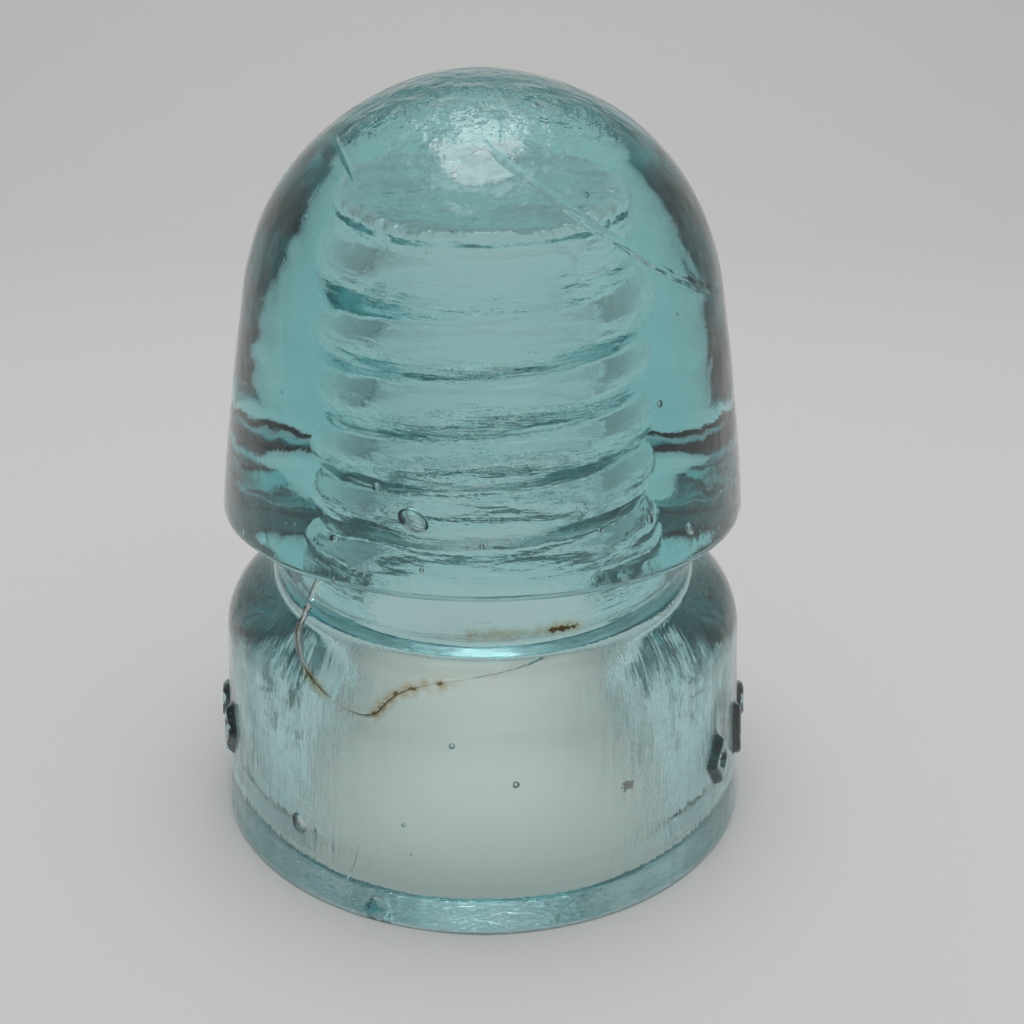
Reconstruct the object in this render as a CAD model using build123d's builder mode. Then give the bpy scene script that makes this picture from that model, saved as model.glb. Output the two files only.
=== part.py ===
"""Pressed-glass pin insulator: a domed crown over one skirt, on a 1-inch threaded pin.

The whole object is one piece of glass.  Its axis is +Z and the origin is the centre of
the ring that it stands on.  All lengths are millimetres, all angles degrees.
"""
from math import atan, cos, degrees, radians, sin, tan
import os

from build123d import *

os.makedirs("parts", exist_ok=True)

# ---- driving dimensions -------------------------------------------------------------
height = 91.7
base_radius = 34.96

# Skirt: a slightly conical wall with a rounded shoulder on top.
skirt_draft = 3.85
base_edge_round = 0.4
mould_line_z = 8.4
mould_line_step = 0.05
shoulder_start_z = 25.0
shoulder_round = 7.5

# Wire groove between the shoulder and the crown.
groove_radius = 26.3
groove_floor_round = 2.8
groove_roof_round = 3.0
groove_roof_z = 40.3

# Crown: a drip edge, a gently curved side and a hemispherical top.
drip_radius = 32.63
drip_z = 40.6
drip_round = 1.0
dome_radius = 28.72
dome_side_angle = 12.45

# Hollow under the skirt.
cavity_mouth_radius = 25.0
cavity_mouth_round = 0.6
cavity_top_radius = 23.0
cavity_ceiling_z = 26.5
cavity_corner_round = 3.0

# Pin hole: a plain lead-in, then a tapered right-hand thread of four turns to the inch.
lead_in_radius = 15.1
lead_in_mouth_round = 1.5
lead_in_top_z = 37.0
pin_hole_top_z = 74.1
pin_hole_corner_round = 1.2
thread_pitch = 25.4 / 4
thread_taper = 1 / 32
thread_depth = 1.3
thread_land = 0.45
thread_root_radius_at_start = 15.0
thread_start_z = 32.4
thread_turns = 6.0

# Raised marks round the skirt: open lozenges, bars and rings, centred on the two sides.
mark_relief = 0.9
mark_height = 7.0
mark_width = 4.6
mark_stroke = 1.3
mark_centre_z = 12.9
right_mark_angles = [-33, -20, -7, 7, 20, 33]
left_mark_angles = [160, 173, 187, 200]


def skirt_radius(z):
    """Outer radius of the conical skirt wall at height z."""
    return base_radius - z * tan(radians(skirt_draft))


def round_corner(sketch, place, radius):
    """Round the corner of the sketch that is nearest to the place (radius, height)."""
    fillet(sketch.vertices().sort_by_distance(place)[0], radius)


# ---- derived places -----------------------------------------------------------------
dome_centre_z = height - dome_radius
dome_side_r = dome_radius * cos(radians(dome_side_angle))
dome_side_z = dome_centre_z + dome_radius * sin(radians(dome_side_angle))
dome_shoulder_r = dome_radius * sin(radians(45))
dome_shoulder_z = dome_centre_z + dome_radius * cos(radians(45))

shoulder_centre_r = skirt_radius(shoulder_start_z) - shoulder_round * cos(radians(skirt_draft))
shoulder_centre_z = shoulder_start_z - shoulder_round * sin(radians(skirt_draft))
shoulder_end_z = shoulder_centre_z + (
    shoulder_round**2 - (groove_radius - shoulder_centre_r) ** 2
) ** 0.5
shoulder_mid_r = shoulder_centre_r + shoulder_round * sin(radians(45))
shoulder_mid_z = shoulder_centre_z + shoulder_round * cos(radians(45))

thread_height = thread_turns * thread_pitch
thread_half_width = (thread_pitch - thread_land) / 2
crest_radius_at_start = thread_root_radius_at_start - thread_depth
pin_hole_bottom_radius = crest_radius_at_start - (lead_in_top_z - thread_start_z) * thread_taper
pin_hole_top_radius = crest_radius_at_start - (pin_hole_top_z - thread_start_z) * thread_taper

# ---- thread groove: a rounded ridge of a wooden pin, swept along a tapered helix ----------
with BuildPart() as thread_groove:
    with BuildLine() as helix_line:
        Helix(
            pitch=thread_pitch,
            height=thread_height,
            radius=crest_radius_at_start,
            center=(0, 0, thread_start_z),
            cone_angle=-degrees(atan(thread_taper)),
        )
    start_plane = Plane(
        origin=helix_line.line @ 0,
        x_dir=(1, 0, 0),
        z_dir=helix_line.line % 0,
    )
    with BuildSketch(start_plane):
        with BuildLine():
            ridge = ThreePointArc(
                (0, -thread_half_width),
                (thread_depth, 0),
                (0, thread_half_width),
            )
            Polyline(
                ridge @ 1,
                (-thread_depth, thread_half_width),
                (-thread_depth, -thread_half_width),
                ridge @ 0,
            )
        make_face()
    sweep(path=helix_line.line, is_frenet=True)

# ---- raised marks: lozenges, bars and rings, trimmed to a shell just proud of the skirt ---
with BuildPart() as raised_marks:
    for index, angle in enumerate(right_mark_angles + left_mark_angles):
        outward = Vector(cos(radians(angle)), sin(radians(angle)), 0)
        mark_plane = Plane(
            origin=outward * cavity_mouth_radius + Vector(0, 0, mark_centre_z),
            x_dir=outward.cross(Vector(0, 0, -1)),
            z_dir=outward,
        )
        with BuildSketch(mark_plane):
            if index % 3 == 0:
                with BuildLine():
                    Polyline(
                        (mark_width / 2, 0),
                        (0, mark_height / 2),
                        (-mark_width / 2, 0),
                        (0, -mark_height / 2),
                        close=True,
                    )
                make_face()
                offset(amount=-mark_stroke, mode=Mode.SUBTRACT)
            elif index % 3 == 1:
                SlotOverall(mark_height, mark_stroke, rotation=90)
            else:
                Circle(mark_width / 2)
                Circle(mark_width / 2 - mark_stroke, mode=Mode.SUBTRACT)
        extrude(amount=base_radius)
    with BuildSketch(Plane.XZ):
        with BuildLine():
            Polyline(
                (cavity_mouth_radius, mould_line_z),
                (skirt_radius(mould_line_z) + mark_relief, mould_line_z),
                (skirt_radius(shoulder_start_z) + mark_relief, shoulder_start_z),
                (cavity_mouth_radius, shoulder_start_z),
                close=True,
            )
        make_face()
    revolve(axis=Axis.Z, mode=Mode.INTERSECT)

# ---- the glass body ---------------------------------------------------------------------
with BuildPart() as glass_insulator:
    # Outside: skirt, shoulder, wire groove, drip edge, crown side and dome.
    with BuildSketch(Plane.XZ) as outer_profile:
        with BuildLine():
            Polyline(
                (0, height),
                (0, 0),
                (base_radius, 0),
                (skirt_radius(mould_line_z), mould_line_z),
                (skirt_radius(mould_line_z) - mould_line_step, mould_line_z),
                (skirt_radius(shoulder_start_z), shoulder_start_z),
            )
            shoulder = ThreePointArc(
                (skirt_radius(shoulder_start_z), shoulder_start_z),
                (shoulder_mid_r, shoulder_mid_z),
                (groove_radius, shoulder_end_z),
            )
            Polyline(
                shoulder @ 1,
                (groove_radius, groove_roof_z),
                (drip_radius, drip_z),
            )
            dome = ThreePointArc(
                (0, height),
                (dome_shoulder_r, dome_shoulder_z),
                (dome_side_r, dome_side_z),
            )
            TangentArc(dome @ 1, (drip_radius, drip_z), tangent=dome % 1)
        make_face()
        round_corner(outer_profile, (base_radius, 0), base_edge_round)
        round_corner(outer_profile, (groove_radius, shoulder_end_z), groove_floor_round)
        round_corner(outer_profile, (groove_radius, groove_roof_z), groove_roof_round)
        round_corner(outer_profile, (drip_radius, drip_z), drip_round)
    revolve(axis=Axis.Z)

    # Inside: the hollow under the skirt, the plain lead-in and the tapered pin hole.
    with BuildSketch(Plane.XZ) as hollow_profile:
        with BuildLine():
            Polyline(
                (0, 0),
                (cavity_mouth_radius, 0),
                (cavity_top_radius, cavity_ceiling_z),
                (lead_in_radius, cavity_ceiling_z),
                (lead_in_radius, lead_in_top_z),
                (pin_hole_bottom_radius, lead_in_top_z),
                (pin_hole_top_radius, pin_hole_top_z),
                (0, pin_hole_top_z),
                close=True,
            )
        make_face()
        round_corner(hollow_profile, (cavity_top_radius, cavity_ceiling_z), cavity_corner_round)
        round_corner(hollow_profile, (lead_in_radius, cavity_ceiling_z), lead_in_mouth_round)
        round_corner(hollow_profile, (pin_hole_top_radius, pin_hole_top_z), pin_hole_corner_round)
    revolve(axis=Axis.Z, mode=Mode.SUBTRACT)
    mouth_edge = glass_insulator.edges().filter_by(GeomType.CIRCLE).group_by(Axis.Z)[0].sort_by(
        SortBy.LENGTH
    )[0]
    fillet(mouth_edge, cavity_mouth_round)
    add(thread_groove.part, mode=Mode.SUBTRACT)
    add(raised_marks.part)

glass_insulator.part.label = "glass_insulator"
export_step(glass_insulator.part, "parts/glass_insulator.step")
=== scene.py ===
"""Looks of the pressed-glass insulator: one body of aqua glass with its flaws, and the studio.

Sizes of the glass are in millimetres, as in the CAD source; MM turns them into the frame's metres.
Places on the glass are given as (bearing, height): the bearing is in degrees from the front, which
is the -Y side, turning towards +X, and the height is above the ring that the glass stands on.
"""
import math

import bmesh
import bpy
import numpy as np
from mathutils import Matrix, Vector
from mathutils.geometry import interpolate_bezier


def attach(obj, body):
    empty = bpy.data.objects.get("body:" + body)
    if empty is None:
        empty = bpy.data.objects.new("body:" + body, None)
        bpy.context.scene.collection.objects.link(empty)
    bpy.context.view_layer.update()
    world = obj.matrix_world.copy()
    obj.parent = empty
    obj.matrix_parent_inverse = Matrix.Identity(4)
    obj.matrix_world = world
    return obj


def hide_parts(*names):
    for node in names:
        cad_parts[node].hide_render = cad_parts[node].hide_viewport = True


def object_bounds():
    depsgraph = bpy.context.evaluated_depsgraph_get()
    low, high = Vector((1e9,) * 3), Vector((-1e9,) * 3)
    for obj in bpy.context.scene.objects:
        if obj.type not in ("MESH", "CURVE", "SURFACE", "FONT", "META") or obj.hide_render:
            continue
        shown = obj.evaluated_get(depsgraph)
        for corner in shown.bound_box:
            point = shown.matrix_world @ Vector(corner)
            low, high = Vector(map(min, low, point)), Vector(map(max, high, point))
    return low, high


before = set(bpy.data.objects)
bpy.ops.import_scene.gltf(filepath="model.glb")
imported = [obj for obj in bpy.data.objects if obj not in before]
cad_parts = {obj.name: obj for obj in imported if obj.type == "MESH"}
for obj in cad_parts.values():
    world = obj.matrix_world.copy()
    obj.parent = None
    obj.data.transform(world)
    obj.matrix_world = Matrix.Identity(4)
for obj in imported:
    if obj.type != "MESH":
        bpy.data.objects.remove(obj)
cad_low, cad_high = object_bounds()

BODY = "root"
NODE = "glass_insulator"
MM = 0.001
TURN = 2 * math.pi

# ---- sizes of the glass, millimetres -------------------------------------------------------------
HEIGHT = cad_high[2] / MM
BASE_RADIUS = cad_high[1] / MM
SKIRT_DRAFT = math.tan(math.radians(3.85))
BASE_EDGE_ROUND = 0.4
MOULD_LINE_Z = 8.4
SHOULDER_Z = 25.0
SHOULDER_ROUND = 7.5
GROOVE_RADIUS = 26.3
GROOVE_FLOOR_ROUND = 2.8
GROOVE_ROOF_Z = 40.3
GROOVE_ROOF_ROUND = 3.0
DRIP_RADIUS = 32.63
DRIP_Z = 40.6
DRIP_ROUND = 1.0
DOME_RADIUS = 28.72
DOME_SIDE_ANGLE = math.radians(12.45)
MOUTH_RADIUS = 25.0
MOUTH_ROUND = 0.6
CAVITY_TOP_RADIUS = 23.0
CAVITY_CORNER_ROUND = 3.0
CEILING_Z = 26.5
LEAD_IN_RADIUS = 15.1
LEAD_IN_MOUTH_ROUND = 1.5
LEAD_IN_TOP_Z = 37.0
HOLE_TOP_Z = 74.1
HOLE_CORNER_ROUND = 1.2
PITCH = 6.35
TAPER = 1 / 32
THREAD_DEPTH = 1.2
CREST_RADIUS_AT_START = 13.7
THREAD_START_Z = 32.4
THREAD_TURNS = 6.0
THREAD_FADE_TURNS = 0.4

# The outside is sunk by this much, so that its hills stay inside the CAD model's box.
RELIEF_SINK = 0.12

# Raised marks round the skirt: lozenges, bars and rings.  As in the CAD source, their angles are
# degrees round +Z from +X.
MARK_RELIEF = 0.9
MARK_HEIGHT = 7.0
MARK_WIDTH = 4.6
MARK_STROKE = 1.3
MARK_Z = 12.9
RIGHT_MARK_ANGLES = [-33, -20, -7, 7, 20, 33]
LEFT_MARK_ANGLES = [160, 173, 187, 200]
MARK_ARC = 38

# Flaws, as (bearing, height) places on the outside.
CHIP = (-20.5, 1.3)
GRIT = (29, 16.5)
CRACK_ROUTE = [(-46, 38), (-52, 33), (-46, 30.5), (-31, 27), (-22, 26.5), (-14, 29.6), (14, 31.6)]
HAIRLINE_ROUTE = [(-24.5, 10.5), (-25.5, 7.0), (-28.5, 3.0)]
LONG_CREASE = [(-1, 85.5), (37, 74.5), (71, 68.5)]
SHORT_CREASE = [(-70, 85.5), (-43, 83), (-33, 80.5)]
SIDE_CREASE = [(71, 79), (74, 73), (77, 67)]


def skirt_radius(z):
    """Radius of the skirt's conical outside at a height."""
    return BASE_RADIUS - z * SKIRT_DRAFT


def crest_radius(z):
    """Radius of the thread's crests, which is the hole without its thread."""
    return CREST_RADIUS_AT_START - (z - THREAD_START_Z) * TAPER


# ---- the outline of the glass --------------------------------------------------------------------
def rounded(corners, steps=8):
    """Points along a polyline of (r, z, rounding radius), with each corner rounded off."""
    points = []
    for i, (r, z, radius) in enumerate(corners):
        here = Vector((r, z))
        if radius == 0:
            points.append(here)
            continue
        back = (Vector(corners[i - 1][:2]) - here).normalized()
        ahead = (Vector(corners[i + 1][:2]) - here).normalized()
        half_angle = back.angle(ahead) / 2
        centre = here + (back + ahead).normalized() * radius / math.sin(half_angle)
        start = here + back * radius / math.tan(half_angle)
        end = here + ahead * radius / math.tan(half_angle)
        for k in range(steps + 1):
            spoke = (start - centre).slerp(end - centre, k / steps).normalized()
            points.append(centre + spoke * radius)
    return points


def arc(centre, radius, start, end, steps):
    """Points of a circle arc, angles in radians from the +r direction."""
    middle = Vector(centre)
    angles = np.linspace(start, end, steps + 1)
    return [middle + radius * Vector((math.cos(angle), math.sin(angle))) for angle in angles]


def bezier(a, b, c, steps):
    """Points of a smooth bend from a to c that aims at b."""
    return [a.lerp(b, t).lerp(b.lerp(c, t), t) for t in np.linspace(0, 1, steps + 1)]


def resampled(points, spacing):
    """The same line with evenly spaced points, given as r and z arrays."""
    r = np.array([p.x for p in points])
    z = np.array([p.y for p in points])
    length = np.concatenate([[0], np.cumsum(np.hypot(np.diff(r), np.diff(z)))])
    count = max(2, int(round(length[-1] / spacing)) + 1)
    s = np.linspace(0, length[-1], count)
    return np.interp(s, length, r), np.interp(s, length, z)


def outline():
    """Rows of the body, given as r, z and zone.

    They run from the top of the crown down the outside, then up the inside.  Each stretch has its
    own spacing of rows, finer where the glass bends or carries relief.
    """
    dome = arc((0, HEIGHT - DOME_RADIUS), DOME_RADIUS, math.pi / 2, DOME_SIDE_ANGLE, 40)
    down = Vector((math.sin(DOME_SIDE_ANGLE), -math.cos(DOME_SIDE_ANGLE)))
    # The crown's side ends just above the rounding of the drip edge.
    drip_top = Vector((DRIP_RADIUS - 0.12, DRIP_Z + 1.1))
    side = bezier(dome[-1], dome[-1] + down * (dome[-1] - drip_top).length / 2, drip_top, 16)
    draft = math.atan(SKIRT_DRAFT)
    shoulder_centre = (
        skirt_radius(SHOULDER_Z) - SHOULDER_ROUND * math.cos(draft),
        SHOULDER_Z - SHOULDER_ROUND * math.sin(draft),
    )
    shoulder = arc(shoulder_centre, SHOULDER_ROUND, math.radians(76), draft, 18)
    # The groove's floor runs into the shoulder at its third point.
    neck = rounded(
        [
            (drip_top.x, drip_top.y, 0),
            (DRIP_RADIUS, DRIP_Z, DRIP_ROUND),
            (GROOVE_RADIUS, GROOVE_ROOF_Z, GROOVE_ROOF_ROUND),
            (GROOVE_RADIUS, shoulder[0].y + 0.3, GROOVE_FLOOR_ROUND),
            (shoulder[2].x, shoulder[2].y, 0),
        ]
    )
    base = rounded(
        [
            (skirt_radius(MOULD_LINE_Z), MOULD_LINE_Z, 0),
            (BASE_RADIUS, 0, BASE_EDGE_ROUND),
            (MOUTH_RADIUS, 0, MOUTH_ROUND),
            (CAVITY_TOP_RADIUS, CEILING_Z, CAVITY_CORNER_ROUND),
            (LEAD_IN_RADIUS, CEILING_Z, LEAD_IN_MOUTH_ROUND),
            (LEAD_IN_RADIUS, LEAD_IN_TOP_Z, 0),
        ]
    )
    hole = rounded(
        [
            (crest_radius(LEAD_IN_TOP_Z), LEAD_IN_TOP_Z, 0),
            (crest_radius(HOLE_TOP_Z), HOLE_TOP_Z, HOLE_CORNER_ROUND),
            (0, HOLE_TOP_Z, 0),
        ]
    )
    wall = [Vector((skirt_radius(z), z)) for z in (SHOULDER_Z, MOULD_LINE_Z)]
    stretches = [
        ("dome", dome, 1.1),
        ("side", side, 1.3),
        ("neck", neck, 0.6),
        ("shoulder", shoulder[2:], 0.8),
        ("wall", wall, 0.4),
        ("base", base, 0.6),
        ("hole", hole[:2], 0.4),
        ("ceiling", hole[1:], 0.8),
    ]
    r, z, zone = [], [], []
    for name, points, spacing in stretches:
        part_r, part_z = resampled(points, spacing)
        first = 1 if r else 0
        r.extend(part_r[first:])
        z.extend(part_z[first:])
        zone.extend([name] * len(part_r[first:]))
    return np.array(r), np.array(z), np.array(zone)


def directions(count):
    """Angles round the axis, closer together where the raised marks, the seams and the chip are."""
    fine = np.linspace(0, TURN, 3601)  # every tenth of a degree
    side = np.abs(np.sin(fine)) < math.sin(math.radians(MARK_ARC))
    seam = np.abs(np.cos(fine)) < math.sin(math.radians(1.5))
    chip = np.abs(np.cos(fine - math.radians(CHIP[0] - 90))) > math.cos(math.radians(4))
    density = 1.0 + 1.5 * side + 4.0 * seam + 2.0 * chip
    total = np.concatenate([[0], np.cumsum((density[1:] + density[:-1]) / 2)])
    return np.interp(np.arange(count) / count, total / total[-1], fine)


OUTLINE = outline()
OUTER_ZONES = ["dome", "side", "neck", "shoulder", "wall"]


def outer_radius(z):
    """Radius of the outside of the glass at a height."""
    r, row_z, zone = OUTLINE
    outer = np.isin(zone, OUTER_ZONES)
    if z < MOULD_LINE_Z:
        return skirt_radius(z)
    return float(np.interp(z, row_z[outer][::-1], r[outer][::-1]))


def on_glass(bearing, z, depth=0.0):
    """The place a given depth under the outside surface."""
    turn = math.radians(bearing - 90)
    r = outer_radius(z) - depth
    return Vector((r * math.cos(turn), r * math.sin(turn), z))


# ---- relief of the surfaces ----------------------------------------------------------------------
def waves(places, wavelength, seed, count=12):
    """Smooth random waves, about -1 to 1, at the given places, all near one wavelength."""
    dice = np.random.default_rng(seed)
    total = np.zeros(places.shape[:-1])
    for _ in range(count):
        way = dice.normal(size=3)
        way *= TURN / (wavelength * dice.uniform(0.7, 1.5) * np.linalg.norm(way))
        total += np.sin(places @ way + dice.uniform(0, TURN))
    return total / math.sqrt(count)


def step(edge, width, value):
    """0 below the edge and 1 above it, with a smooth change over the width."""
    t = np.clip((value - edge) / width + 0.5, 0, 1)
    return t * t * (3 - 2 * t)


def apart(angle, other):
    """Signed difference of two angles in radians, from -pi to pi."""
    return (angle - other + math.pi) % TURN - math.pi


def thread_depth(z, angle, wobble):
    """How far the thread's valley goes into the glass, with crests worn round."""
    turn = (z + wobble - THREAD_START_Z) / PITCH - angle / TURN
    centre = np.round(turn)
    across = 2 * (turn - centre)
    sharpness, crest_level = 40.0, 0.12
    valley = np.logaddexp(sharpness * (1 - across**2), sharpness * crest_level) / sharpness
    turns_left = THREAD_TURNS - (centre + angle / TURN)
    return THREAD_DEPTH * valley * np.clip(turns_left / THREAD_FADE_TURNS, 0, 1)


def marks_relief(angle, r, z):
    """Height of the raised marks above the skirt; gap is how far a place is outside a stroke."""
    relief = np.zeros_like(r)
    up = z - MARK_Z
    soft_edge = 0.45
    for index, bearing in enumerate(RIGHT_MARK_ANGLES + LEFT_MARK_ANGLES):
        along = apart(angle, math.radians(bearing)) * r
        if index % 3 == 0:
            slope = math.hypot(MARK_WIDTH, MARK_HEIGHT)
            rim = (np.abs(along) * MARK_HEIGHT + np.abs(up) * MARK_WIDTH) / slope
            middle = MARK_WIDTH * MARK_HEIGHT / 2 / slope - MARK_STROKE / 2
            gap = np.abs(rim - middle) - MARK_STROKE / 2
        elif index % 3 == 1:
            beyond = np.clip(np.abs(up) - (MARK_HEIGHT - MARK_STROKE) / 2, 0, None)
            gap = np.hypot(along, beyond) - MARK_STROKE / 2
        else:
            gap = np.abs(np.hypot(along, up) - (MARK_WIDTH - MARK_STROKE) / 2) - MARK_STROKE / 2
        relief = np.maximum(relief, MARK_RELIEF * step(0.0, soft_edge, -gap))
    return relief


def outer_relief(angle, r, z, places):
    """Small hills on the outside: waves, streaks, mould seams, raised marks, and the chip."""
    relief = 0.10 * waves(places, wavelength=24.0, seed=1)
    relief += 0.022 * waves(places, wavelength=7.0, seed=2)

    # Upright streaks on the two sides of the skirt.
    stretched = places * (1, 1, 0.12)
    streaky = step(0.72, 0.3, np.abs(np.cos(angle))) * step(4, 8, SHOULDER_Z - z)
    relief += 0.014 * waves(stretched, wavelength=2.6, seed=3, count=20) * streaky

    # The mould's seams run up the front and the back, and its ring goes round above the foot.
    seam_height = np.where(z < GROOVE_ROOF_Z, 0.10, 0.02)
    seam_half_width = 0.35
    seam = np.exp(-((np.cos(angle) * r / seam_half_width) ** 2))
    relief += seam_height * seam * (z < HEIGHT - 8)
    relief += 0.06 * step(-MOULD_LINE_Z, 0.5, -z)
    relief += marks_relief(angle, r, z)

    chip_along = apart(angle, math.radians(CHIP[0] - 90)) * r
    chip_gap = np.hypot(chip_along / 1.6, (z - CHIP[1]) / 1.5)
    chip_bottom = 1 + 0.3 * waves(places, wavelength=1.2, seed=4)
    relief -= 1.3 * step(-0.9, 0.4, -chip_gap) * chip_bottom
    return relief - RELIEF_SINK


def body_grid():
    """The places of the body's grid: one row per outline point, one column per direction."""
    r, z, zone = OUTLINE
    angle = directions(380)
    slope_r, slope_z = np.gradient(r), np.gradient(z)
    length = np.hypot(slope_r, slope_z)
    out_r, out_z = -slope_z / length, slope_r / length
    ring_r = np.repeat(r[:, None], len(angle), 1)
    ring_z = np.repeat(z[:, None], len(angle), 1)
    ring_a = np.repeat(angle[None, :], len(r), 0)
    places = np.stack([ring_r * np.cos(ring_a), ring_r * np.sin(ring_a), ring_z], -1)

    # The ring that the glass stands on stays flat.
    push = np.zeros_like(ring_r)
    off_floor = (zone == "base") & (z > 0.2)
    outside = np.isin(zone, OUTER_ZONES) | (off_floor & (r > BASE_RADIUS - 2))
    push[outside] = outer_relief(ring_a[outside], ring_r[outside], ring_z[outside], places[outside])
    inside = off_floor & (r < MOUTH_RADIUS + 1)
    push[inside] = 0.05 * waves(places[inside], wavelength=16.0, seed=5)
    ceiling = zone == "ceiling"
    push[ceiling] = 0.28 * waves(places[ceiling], wavelength=7.0, seed=6)
    push[ceiling] += 0.14 * waves(places[ceiling], wavelength=3.0, seed=7)
    ring_r += push * out_r[:, None]
    ring_z += push * out_z[:, None]

    # The thread wavers a little along its way, and in its depth.
    hole = zone == "hole"
    wobble = 0.25 * waves(places[hole], wavelength=22.0, seed=8)
    ripple = 0.05 * waves(places[hole] * (0.6, 0.6, 3.0), wavelength=4.0, seed=9)
    uneven = 1 + 0.12 * waves(places[hole], wavelength=14.0, seed=10)
    ring_r[hole] += thread_depth(ring_z[hole], ring_a[hole], wobble) * uneven + ripple
    return np.stack([ring_r * np.cos(ring_a), ring_r * np.sin(ring_a), ring_z], -1)


# ---- bubbles and cracks: hollows in the glass, as inside-out shells ------------------------------
def hollow_ball(body, centre, size, tilt, fineness):
    """The hollow of a bubble, as an inside-out egg: size is (across, tall, deep)."""
    outward = Vector((centre.x, centre.y, 0)).normalized()
    across = Vector((0, 0, 1)).cross(outward)
    wide = across * math.cos(tilt) + Vector((0, 0, 1)) * math.sin(tilt)
    tall = outward.cross(wide)
    axes = Matrix((outward * size[2], wide * size[0], tall * size[1])).transposed().to_4x4()
    place = Matrix.Translation(centre) @ axes
    made = bmesh.ops.create_icosphere(body, subdivisions=fineness, radius=0.5, matrix=place)
    faces = {face for vert in made["verts"] for face in vert.link_faces}
    bmesh.ops.reverse_faces(body, faces=list(faces))


def bubbles(body):
    """The bubbles that show one by one, then the fine seed bubbles.

    Each shown bubble has its place, its size, its tilt in radians and its depth in the glass.
    """
    shown = [
        ((-13.6, 48.9), (3.5, 2.3, 1.8), -0.5, 1.5),
        ((46.8, 44.6), (1.2, 1.7, 1.2), 0.5, 1.5),
        ((35.1, 47.2), (0.8, 1.4, 0.8), 0.2, 1.5),
        ((-40.2, 8.6), (2.3, 2.6, 1.2), 0.2, 1.2),
        ((6.5, 18.4), (0.8, 0.8, 0.8), 0.0, 2.0),
        ((-6.1, 23.2), (0.7, 0.7, 0.7), 0.0, 2.0),
        ((-15.8, 12.6), (0.5, 0.5, 0.5), 0.0, 2.0),
        ((40.2, 59.0), (0.7, 0.9, 0.7), 0.0, 2.0),
        ((-31.2, 45.3), (1.3, 1.0, 1.0), 0.2, 2.5),
        ((-21.7, 51.8), (0.9, 1.2, 0.8), 0.4, 2.0),
        ((-8.0, 82.0), (1.0, 0.8, 0.7), 0.0, 1.6),
        ((-1.0, 84.0), (1.8, 0.8, 0.6), 0.3, 1.6),
    ]
    for (bearing, z), size, tilt, depth in shown:
        hollow_ball(body, on_glass(bearing, z, depth), size, tilt, fineness=4)

    # Half of the seed bubbles gather in the thick glass above the drip edge.
    dice = np.random.default_rng(11)
    for _ in range(80):
        bearing = dice.uniform(-180, 180)
        lowest, highest = (43, 50) if dice.random() < 0.5 else (4, 88)
        z = dice.uniform(lowest, highest)
        width = 0.25 + 0.35 * dice.random() ** 2
        depth = dice.uniform(1.0, 3.0)
        size = (width, width * 1.3, width)
        hollow_ball(body, on_glass(bearing, z, depth), size, tilt=0.0, fineness=2)


def smooth_route(route, steps=8):
    """A smooth line through the (bearing, height) places of a route."""
    points = [Vector((b, z, 0)) for b, z in route]
    points = [2 * points[0] - points[1]] + points + [2 * points[-1] - points[-2]]
    line = []
    for before, a, b, after in zip(points, points[1:], points[2:], points[3:]):
        line += interpolate_bezier(a, a + (b - before) / 6, b - (after - a) / 6, b, steps + 1)[:-1]
    return line + [points[-2]]


def crack_sheet(body, route, reach, lean, opening):
    """A thin hollow sheet that starts just under the surface and goes in by about the reach.

    It sinks by the lean for each millimetre of depth, and opens widest half-way along.
    """
    line = smooth_route(route)
    dice = np.random.default_rng(12)
    skin = 0.08
    rings = []
    for n, spot in enumerate(line):
        depths = skin + reach * dice.uniform(0.7, 1.2) * np.linspace(0, 1, 4)
        half = opening * math.sin(math.pi * (n + 0.5) / len(line)) / 2
        upper, lower = [], []
        for depth in depths:
            place = on_glass(spot.x, spot.y, depth) - Vector((0, 0, lean * depth))
            upper.append(body.verts.new(place + Vector((0, 0, half))))
            lower.append(body.verts.new(place - Vector((0, 0, half))))
        rings.append(upper + lower[::-1])
    faces = [body.faces.new(rings[0]), body.faces.new(rings[-1])]
    for one, other in zip(rings, rings[1:]):
        for k in range(len(one)):
            faces.append(body.faces.new((one[k - 1], one[k], other[k], other[k - 1])))
    bmesh.ops.recalc_face_normals(body, faces=faces)
    bmesh.ops.reverse_faces(body, faces=faces)


# ---- the glass body ------------------------------------------------------------------------------
def nearness(places, spot, reach):
    """1 at the spot, falling to 0 at the reach."""
    return np.clip(1 - np.linalg.norm(places - np.array(spot), axis=-1) / reach, 0, 1)


def rust_amount(places):
    """How rusty the surface is: along the crack, and in a short arc on the groove's floor."""
    amount = np.zeros(len(places))
    for spot in smooth_route(CRACK_ROUTE):
        rusty = -40 < spot.x < -32 or -22 < spot.x < -6
        strength = 1.1 if rusty else 0.5
        amount = np.maximum(amount, strength * nearness(places, on_glass(spot.x, spot.y), 1.5))
    for bearing in np.linspace(-3, 26, 20):
        spot = on_glass(bearing, 34.0)
        strength = 1.15 if 16 < bearing < 23 else 0.8
        amount = np.maximum(amount, strength * nearness(places, spot, 1.3))
    return amount


def point_attribute(mesh, name, values):
    """Keep one number per vertex, for the material to read."""
    layer = mesh.attributes.new(name, "FLOAT", "POINT")
    layer.data.foreach_set("value", values.astype(np.float32))


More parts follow.
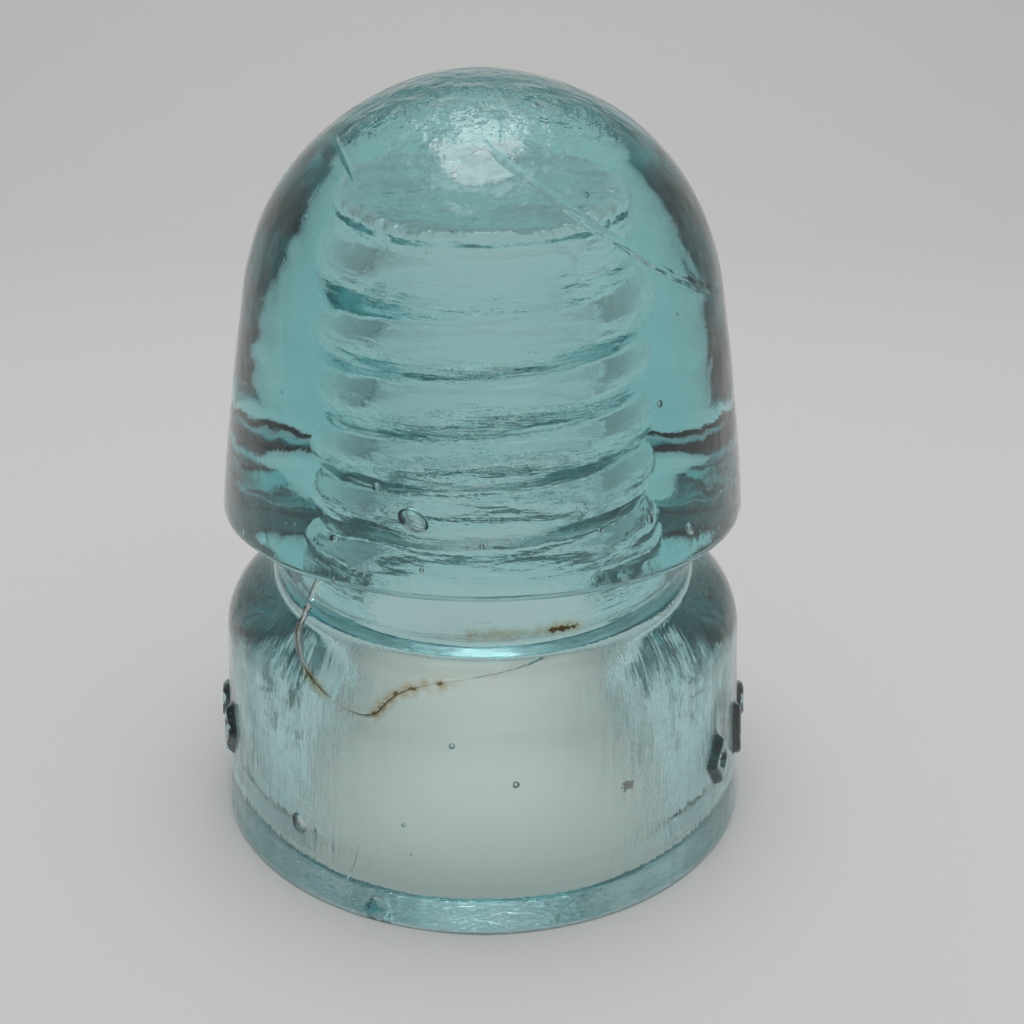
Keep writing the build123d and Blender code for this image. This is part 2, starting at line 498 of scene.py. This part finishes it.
def body_mesh():
    """The closed glass surface with its hollows, and the rust and grit amounts.

    The grid's first and last rows lie on the axis, so each becomes one vertex.
    """
    grid = body_grid()
    body = grid[1:-1]
    rows, cols = body.shape[:2]
    verts = [(0, 0, grid[0, 0, 2])] + body.reshape(-1, 3).tolist() + [(0, 0, grid[-1, 0, 2])]
    last = len(verts) - 1
    faces = []
    for j in range(cols):
        k = (j + 1) % cols
        faces.append((0, 1 + j, 1 + k))
        for i in range(rows - 1):
            a = 1 + i * cols
            faces.append((a + j, a + cols + j, a + cols + k, a + k))
        a = 1 + (rows - 1) * cols
        faces.append((a + j, last, a + k))
    hollows = bmesh.new()
    bubbles(hollows)
    crack_sheet(hollows, CRACK_ROUTE, reach=1.4, lean=0.7, opening=0.07)
    crack_sheet(hollows, HAIRLINE_ROUTE, reach=1.0, lean=0.2, opening=0.05)
    hollows.verts.index_update()
    first = len(verts)
    verts += [tuple(vert.co) for vert in hollows.verts]
    faces += [tuple(first + vert.index for vert in face.verts) for face in hollows.faces]
    hollows.free()

    places = np.array(verts)
    mesh = bpy.data.meshes.new("insulator_body")
    mesh.from_pydata((places * MM).tolist(), [], faces)
    point_attribute(mesh, "rust", rust_amount(places))
    point_attribute(mesh, "grit", nearness(places, on_glass(*GRIT), 1.6))
    mesh.shade_smooth()
    return mesh


# ---- materials -----------------------------------------------------------------------------------
class Tree:
    """Short calls for adding shader nodes to a material."""

    def __init__(self, name):
        self.material = bpy.data.materials.new(name)
        self.material.use_nodes = True
        self.nodes = self.material.node_tree.nodes
        self.shader = self.nodes["Principled BSDF"]
        self.output = self.nodes["Material Output"]

    def feed(self, socket, value):
        """Link another node's socket, or set a plain value."""
        if isinstance(value, bpy.types.NodeSocket):
            self.material.node_tree.links.new(value, socket)
        else:
            socket.default_value = value

    def math(self, operation, a, b=0.0):
        node = self.nodes.new("ShaderNodeMath")
        node.operation = operation
        self.feed(node.inputs[0], a)
        self.feed(node.inputs[1], b)
        return node.outputs[0]

    def total(self, *terms):
        result = terms[0]
        for term in terms[1:]:
            result = self.math("ADD", result, term)
        return result

    def times(self, a, b):
        return self.math("MULTIPLY", a, b)

    def vector(self, operation, a, b=(0, 0, 0)):
        node = self.nodes.new("ShaderNodeVectorMath")
        node.operation = operation
        self.feed(node.inputs[0], a)
        self.feed(node.inputs[1], b)
        gives_number = operation in ("LENGTH", "DOT_PRODUCT", "DISTANCE")
        return node.outputs["Value" if gives_number else "Vector"]

    def place(self):
        """The place on the object, in millimetres."""
        node = self.nodes.new("ShaderNodeTexCoord")
        return self.vector("MULTIPLY", node.outputs["Object"], (1 / MM, 1 / MM, 1 / MM))

    def noise(self, place, scale, detail=2.0, stretch=(1, 1, 1)):
        """Noise from 0 to 1; the scale is in waves per millimetre."""
        node = self.nodes.new("ShaderNodeTexNoise")
        node.inputs["Scale"].default_value = scale
        node.inputs["Detail"].default_value = detail
        self.feed(node.inputs["Vector"], self.vector("MULTIPLY", place, stretch))
        return node.outputs["Fac"]

    def between(self, value, low, high):
        """The value, turned into 0 at low and 1 at high, smoothly."""
        node = self.nodes.new("ShaderNodeMapRange")
        node.interpolation_type = "SMOOTHSTEP"
        self.feed(node.inputs["Value"], value)
        node.inputs["From Min"].default_value = low
        node.inputs["From Max"].default_value = high
        return node.outputs["Result"]

    def attribute(self, name):
        """A number kept on the vertices."""
        node = self.nodes.new("ShaderNodeAttribute")
        node.attribute_name = name
        return node.outputs["Fac"]

    def tones(self, factor, first, second):
        """A colour that runs from the first to the second."""
        node = self.nodes.new("ShaderNodeMix")
        node.data_type = "RGBA"
        self.feed(node.inputs["Factor"], factor)
        node.inputs["A"].default_value = first
        node.inputs["B"].default_value = second
        return node.outputs["Result"]

    def bump(self, relief):
        """A normal bent by a relief in millimetres."""
        node = self.nodes.new("ShaderNodeBump")
        node.inputs["Distance"].default_value = MM
        self.feed(node.inputs["Height"], relief)
        return node.outputs["Normal"]

    def mixed(self, factor, first, second):
        """A shader that runs from the first to the second."""
        node = self.nodes.new("ShaderNodeMixShader")
        self.feed(node.inputs[0], factor)
        self.feed(node.inputs[1], first)
        self.feed(node.inputs[2], second)
        return node.outputs[0]


def line_mask(tree, place, route, width):
    """1 on a wavering line over the glass, which lies in the plane through three places."""
    first, middle, last = (on_glass(*spot) for spot in route)
    normal = (middle - first).cross(last - first).normalized()
    along_normal = tree.vector("DOT_PRODUCT", place, tuple(normal))
    across = tree.math("SUBTRACT", along_normal, normal.dot(middle))
    wander = tree.times(tree.math("SUBTRACT", tree.noise(place, 0.2), 0.5), 0.8)
    on_line = tree.between(tree.math("ABSOLUTE", tree.total(across, wander)), width, 0.0)
    reach = (first - last).length / 2
    from_middle = tree.vector("DISTANCE", place, tuple((first + last) / 2))
    return tree.times(on_line, tree.between(from_middle, reach * 1.05, reach * 0.8))


def dull_shader(tree, colour, other, pattern, normal):
    """A rough crust whose colour runs between two tones."""
    shader = tree.nodes.new("ShaderNodeBsdfPrincipled")
    tree.feed(shader.inputs["Base Color"], tree.tones(pattern, colour, other))
    tree.feed(shader.inputs["Normal"], normal)
    shader.inputs["Roughness"].default_value = 0.85
    return shader.outputs["BSDF"]


def glass_relief(tree, place, radius, height, in_hole, on_ceiling):
    """The fine relief of the glass, in millimetres."""
    wrinkles = tree.times(tree.noise(place, 0.8, 3.0, (0.35, 0.35, 2.0)), 0.13)
    dimples = tree.times(tree.noise(place, 0.5, 2.0), 0.5)
    skin = tree.times(tree.noise(place, 0.22, 1.0), 0.10)
    streaks = tree.times(tree.noise(place, 1.3, 2.0, (1, 1, 0.06)), 0.08)
    on_skirt = tree.between(height, SHOULDER_Z + 4, SHOULDER_Z)
    mottle = tree.times(tree.noise(place, 0.4, 3.0), 1.1)
    near_axis = tree.between(radius, 21.0, 13.0)
    on_top = tree.times(near_axis, tree.between(height, HEIGHT - 12, HEIGHT - 7))
    outside = tree.total(skin, tree.times(streaks, on_skirt), tree.times(mottle, on_top))
    return tree.total(
        tree.times(wrinkles, in_hole),
        tree.times(dimples, on_ceiling),
        tree.times(outside, tree.math("SUBTRACT", 1.0, in_hole)),
        tree.times(tree.noise(place, 2.2, 2.0), 0.006),
        tree.times(line_mask(tree, place, LONG_CREASE, 0.5), -0.22),
        tree.times(line_mask(tree, place, SHORT_CREASE, 0.45), -0.12),
        tree.times(line_mask(tree, place, SIDE_CREASE, 0.35), -0.06),
    )


def glass_material():
    """Aqua glass with its scuffs, rust and grit."""
    tree = Tree("aqua_glass")
    place = tree.place()
    radius = tree.vector("LENGTH", tree.vector("MULTIPLY", place, (1, 1, 0)))
    height = tree.vector("DOT_PRODUCT", place, (0, 0, 1))
    in_hole = tree.times(tree.between(radius, 17.0, 16.0), tree.between(height, 77.0, 75.5))
    near_ceiling = tree.between(height, HOLE_TOP_Z - 2.0, HOLE_TOP_Z - 1.0)
    on_ceiling = tree.times(in_hole, near_ceiling)
    normal = tree.bump(glass_relief(tree, place, radius, height, in_hole, on_ceiling))

    shader = tree.shader
    shader.inputs["IOR"].default_value = 1.47
    shader.inputs["Transmission Weight"].default_value = 1.0
    haze = tree.times(tree.between(tree.noise(place, 0.5, 4.0), 0.5, 0.8), 0.03)
    frost = tree.times(tree.between(tree.noise(place, 0.35, 3.0), 0.35, 0.65), 0.12)
    tree.feed(shader.inputs["Roughness"], tree.total(haze, tree.times(frost, on_ceiling)))
    tree.feed(shader.inputs["Normal"], normal)

    # A worn, scuffed skin gives the milky part of the highlights.
    scuffs = tree.bump(tree.times(tree.noise(place, 0.28, 3.0), 0.9))
    shader.inputs["Coat Weight"].default_value = 0.7
    shader.inputs["Coat Roughness"].default_value = 0.30
    tree.feed(shader.inputs["Coat Normal"], scuffs)

    # Rust is a see-through stain first, and a brown crust where there is most of it.
    specks = tree.noise(place, 2.6, 4.0)
    rust_here = tree.attribute("rust")
    stain = tree.between(tree.total(rust_here, tree.noise(place, 0.9, 3.0)), 0.65, 1.5)
    stained = tree.tones(stain, (1, 1, 1, 1), (0.62, 0.40, 0.14, 1))
    tree.feed(shader.inputs["Base Color"], stained)
    rust = tree.between(tree.total(rust_here, specks), 1.3, 1.5)
    grit = tree.between(tree.total(tree.attribute("grit"), specks), 0.95, 1.15)
    brown = dull_shader(tree, (0.035, 0.016, 0.008, 1), (0.20, 0.11, 0.04, 1), specks, normal)
    grey = dull_shader(tree, (0.16, 0.18, 0.19, 1), (0.36, 0.38, 0.38, 1), specks, normal)
    surface = tree.mixed(grit, tree.mixed(rust, shader.outputs["BSDF"], brown), grey)
    tree.feed(tree.output.inputs["Surface"], surface)

    absorb = tree.nodes.new("ShaderNodeVolumeAbsorption")
    absorb.inputs["Color"].default_value = (0.0, 0.71, 0.73, 1)
    absorb.inputs["Density"].default_value = 24.0
    tree.feed(tree.output.inputs["Volume"], absorb.outputs["Volume"])
    return tree.material


insulator = bpy.data.objects.new("insulator_body", body_mesh())
bpy.context.scene.collection.objects.link(insulator)
insulator.data.materials.append(glass_material())
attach(insulator, BODY)
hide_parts(NODE)


# ---- floor, light, camera: sizes in metres -------------------------------------------------------
def paper_sweep():
    """A pale paper floor that curves up into a backdrop behind the object."""
    half_width, near, far, tall, bend = 3.0, -2.0, 0.75, 1.1, 0.35
    gap = 0.05 * MM
    line = [Vector((near, -gap))]
    line += arc((far - bend, bend - gap), bend, -math.pi / 2, 0, 24)
    line.append(Vector((far, tall)))
    verts, faces = [], []
    for p in line:
        verts += [(-half_width, p.x, p.y), (half_width, p.x, p.y)]
    for i in range(len(line) - 1):
        faces.append((2 * i, 2 * i + 1, 2 * i + 3, 2 * i + 2))
    mesh = bpy.data.meshes.new("paper_sweep")
    mesh.from_pydata(verts, [], faces)
    mesh.shade_smooth()
    sweep = bpy.data.objects.new("paper_sweep", mesh)
    bpy.context.scene.collection.objects.link(sweep)
    paper = bpy.data.materials.new("paper")
    paper.use_nodes = True
    shader = paper.node_tree.nodes["Principled BSDF"]
    shader.inputs["Base Color"].default_value = (0.80, 0.795, 0.78, 1)
    shader.inputs["Roughness"].default_value = 0.9
    mesh.materials.append(paper)


def disc_light(name, size, energy, height):
    """A round lamp over the axis, shining down."""
    light = bpy.data.lights.new(name, "AREA")
    light.shape = "DISK"
    light.size = size
    light.energy = energy
    lamp = bpy.data.objects.new(name, light)
    lamp.location = (0, 0, height)
    bpy.context.scene.collection.objects.link(lamp)
    return lamp


def hollow_fill():
    """The light that reaches the paper under the glass, which the hollow would lose.

    It sits under the hollow's ceiling, and neither reflections nor the glass show it.
    """
    lamp = disc_light("hollow_fill", 0.043, 0.0044, 0.024)
    lamp.data.color = (1.0, 0.80, 0.69)
    lamp.visible_transmission = False
    lamp.visible_glossy = False


def camera():
    """The eye stands in front and a little above, and looks down at the shoulder."""
    distance, rise, pitch = 0.14606, 0.0972, math.radians(22.11)
    data = bpy.data.cameras.new("camera")
    data.sensor_width = 36
    data.lens = 43.07
    data.shift_x = 0.0283
    data.clip_start = 0.01
    eye = bpy.data.objects.new("camera", data)
    eye.location = (0, -distance, rise)
    eye.rotation_euler = (math.pi / 2 - pitch, 0, 0)
    bpy.context.scene.collection.objects.link(eye)
    bpy.context.scene.camera = eye


def room_light():
    """A soft room: bright overhead, dim at the horizon, less dim on the right and in front."""
    world = bpy.data.worlds.new("room")
    world.use_nodes = True
    bpy.context.scene.world = world
    nodes, links = world.node_tree.nodes, world.node_tree.links
    place = nodes.new("ShaderNodeTexCoord")
    lift = nodes.new("ShaderNodeVectorMath")
    lift.operation = "DOT_PRODUCT"
    lift.inputs[1].default_value = (0.42, -0.2, 1)
    ramp = nodes.new("ShaderNodeValToRGB")
    links.new(place.outputs["Generated"], lift.inputs[0])
    links.new(lift.outputs["Value"], ramp.inputs[0])
    links.new(ramp.outputs["Color"], nodes["Background"].inputs["Color"])
    horizon, overhead = ramp.color_ramp.elements
    horizon.color = (0.30, 0.31, 0.33, 1)
    overhead.position = 0.8
    overhead.color = (0.76, 0.76, 0.77, 1)
    middle = ramp.color_ramp.elements.new(0.25)
    middle.color = (0.46, 0.47, 0.48, 1)
    nodes["Background"].inputs["Strength"].default_value = 0.64


paper_sweep()
room_light()
disc_light("top_softbox", 0.5, 2.55, 0.9)
hollow_fill()
camera()
bpy.context.scene.view_settings.view_transform = "Standard"
